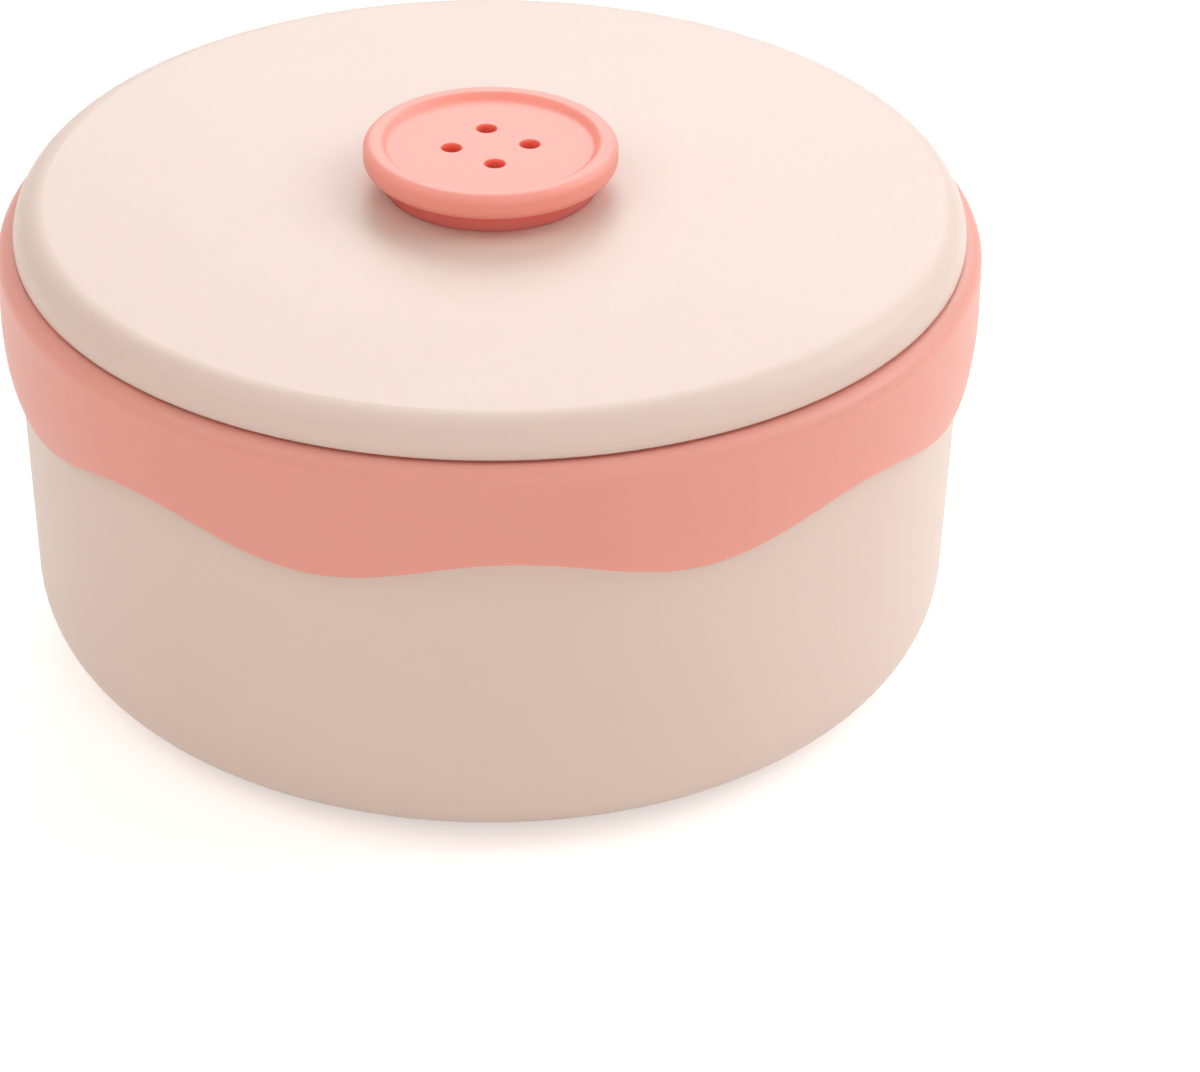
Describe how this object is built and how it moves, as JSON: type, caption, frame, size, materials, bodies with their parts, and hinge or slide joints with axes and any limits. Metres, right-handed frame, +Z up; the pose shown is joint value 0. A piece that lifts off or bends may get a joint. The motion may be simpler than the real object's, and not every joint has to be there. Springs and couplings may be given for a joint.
{
  "type": "sewing box",
  "caption": "Round sewing box: bowl base with thread spools and pincushion, lift-out tray with a wavy skirt for needles, tape and thimble, and a lid with a button knob.",
  "frame": {"origin": "middle of the plane that the foot ring stands on", "axes": "+Z up along the box's axis, -Y to the front"},
  "size_m": [0.145, 0.145, 0.08],
  "materials": {
    "cream_plastic": "satin moulded",
    "pink_plastic": "satin moulded",
    "sponge_foam": "open-cell foam",
    "magnet_rubber": "matt flexible magnet",
    "needle_steel": "nickel-plated",
    "needle_gilt": "gilt",
    "tape_cloth": "coated tape",
    "band_paper": "plain paper",
    "thimble_gilt": "gilt",
    "threader_plastic": "moulded",
    "threader_steel": "drawn wire",
    "screw_steel": "zinc-plated",
    "spool_plastic": "moulded",
    "thread_orange": "wound thread",
    "thread_plum": "wound thread",
    "thread_navy": "wound thread",
    "thread_maroon": "wound thread",
    "thread_rust": "wound thread",
    "thread_teal": "wound thread",
    "thread_umber": "wound thread",
    "thread_green": "wound thread",
    "thread_red": "wound thread",
    "thread_crimson": "wound thread"
  },
  "bodies": {
    "base": {"base_bowl": "cream_plastic", "pincushion_sponge": "sponge_foam", "spool_orange": "spool_plastic", "thread_orange": "thread_orange", "winding_orange": "thread_orange", "spool_plum": "spool_plastic", "thread_plum": "thread_plum", "winding_plum": "thread_plum", "spool_navy": "spool_plastic", "thread_navy": "thread_navy", "winding_navy": "thread_navy", "spool_maroon": "spool_plastic", "thread_maroon": "thread_maroon", "winding_maroon": "thread_maroon", "spool_rust": "spool_plastic", "thread_rust": "thread_rust", "winding_rust": "thread_rust", "spool_teal": "spool_plastic", "thread_teal": "thread_teal", "winding_teal": "thread_teal", "spool_umber": "spool_plastic", "thread_umber": "thread_umber", "winding_umber": "thread_umber", "spool_green": "spool_plastic", "thread_green": "thread_green", "winding_green": "thread_green", "spool_red": "spool_plastic", "thread_red": "thread_red", "winding_red": "thread_red", "spool_crimson": "spool_plastic", "thread_crimson": "thread_crimson", "winding_crimson": "thread_crimson"},
    "tray": {"tray": "pink_plastic", "magnet_disc": "magnet_rubber", "steel_needles": "needle_steel", "gilt_needles": "needle_gilt", "tape_measure": "tape_cloth", "tape_band": "band_paper", "thimble": "thimble_gilt", "threader_plate": "threader_plastic", "threader_wire": "threader_steel"},
    "lid": {"lid": "cream_plastic", "button_knob": "pink_plastic", "knob_washer": "screw_steel", "knob_screw": "screw_steel"}
  },
  "joints": [
    {"name": "tray_lift", "type": "slide", "parent": "base", "child": "tray", "axis": [0, 0, 1], "range_m": [0, 0.1]},
    {"name": "lid_lift", "type": "slide", "parent": "tray", "child": "lid", "axis": [0, 0, 1], "range_m": [0, 0.1]}
  ]
}
